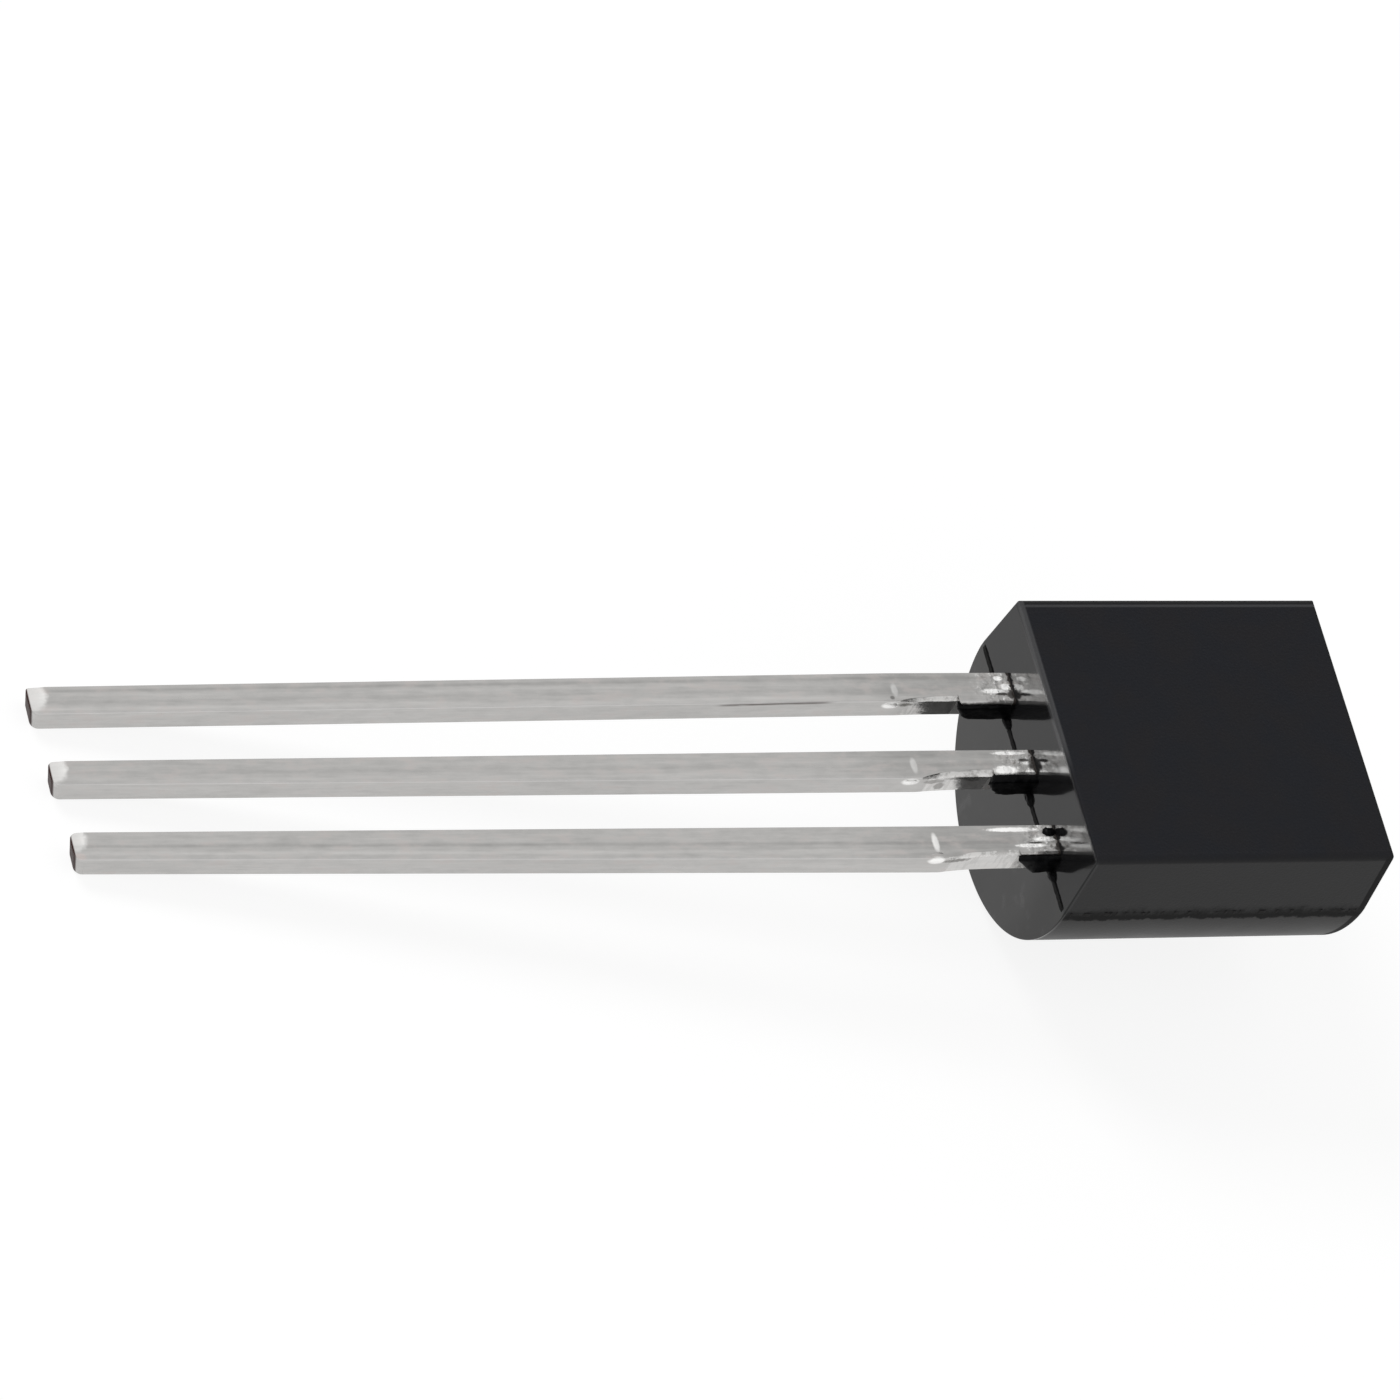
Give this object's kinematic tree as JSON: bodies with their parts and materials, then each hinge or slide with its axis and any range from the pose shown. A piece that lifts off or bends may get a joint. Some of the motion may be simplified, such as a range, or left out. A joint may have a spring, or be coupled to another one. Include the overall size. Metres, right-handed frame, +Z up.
{
  "type": "transistor",
  "caption": "Small plastic transistor: a black D-shaped moulded case with a flat face and a round back, on flat tinned leads side by side.",
  "frame": {"origin": "centre of the part's bounding box on the plane it rests on, with the part lying on its round back and the lead tips", "axes": "+X from the lead tips towards the case, +Y across the case towards the emitter lead, +Z up; the flat face looks up, leaning 8.9 degrees towards the leads"},
  "size_m": [0.019, 0.0044, 0.0041],
  "materials": {
    "moulded_resin": "satin",
    "tinned_lead": "satin",
    "silicon": "gloss",
    "solder": "satin",
    "gold_wire": "satin"
  },
  "bodies": {
    "root": {"case": "moulded_resin", "emitter_lead": "tinned_lead", "base_lead": "tinned_lead", "collector_lead": "tinned_lead", "silicon_die": "silicon", "die_solder": "solder", "base_bond_wire": "gold_wire", "emitter_bond_wire": "gold_wire"}
  },
  "joints": []
}
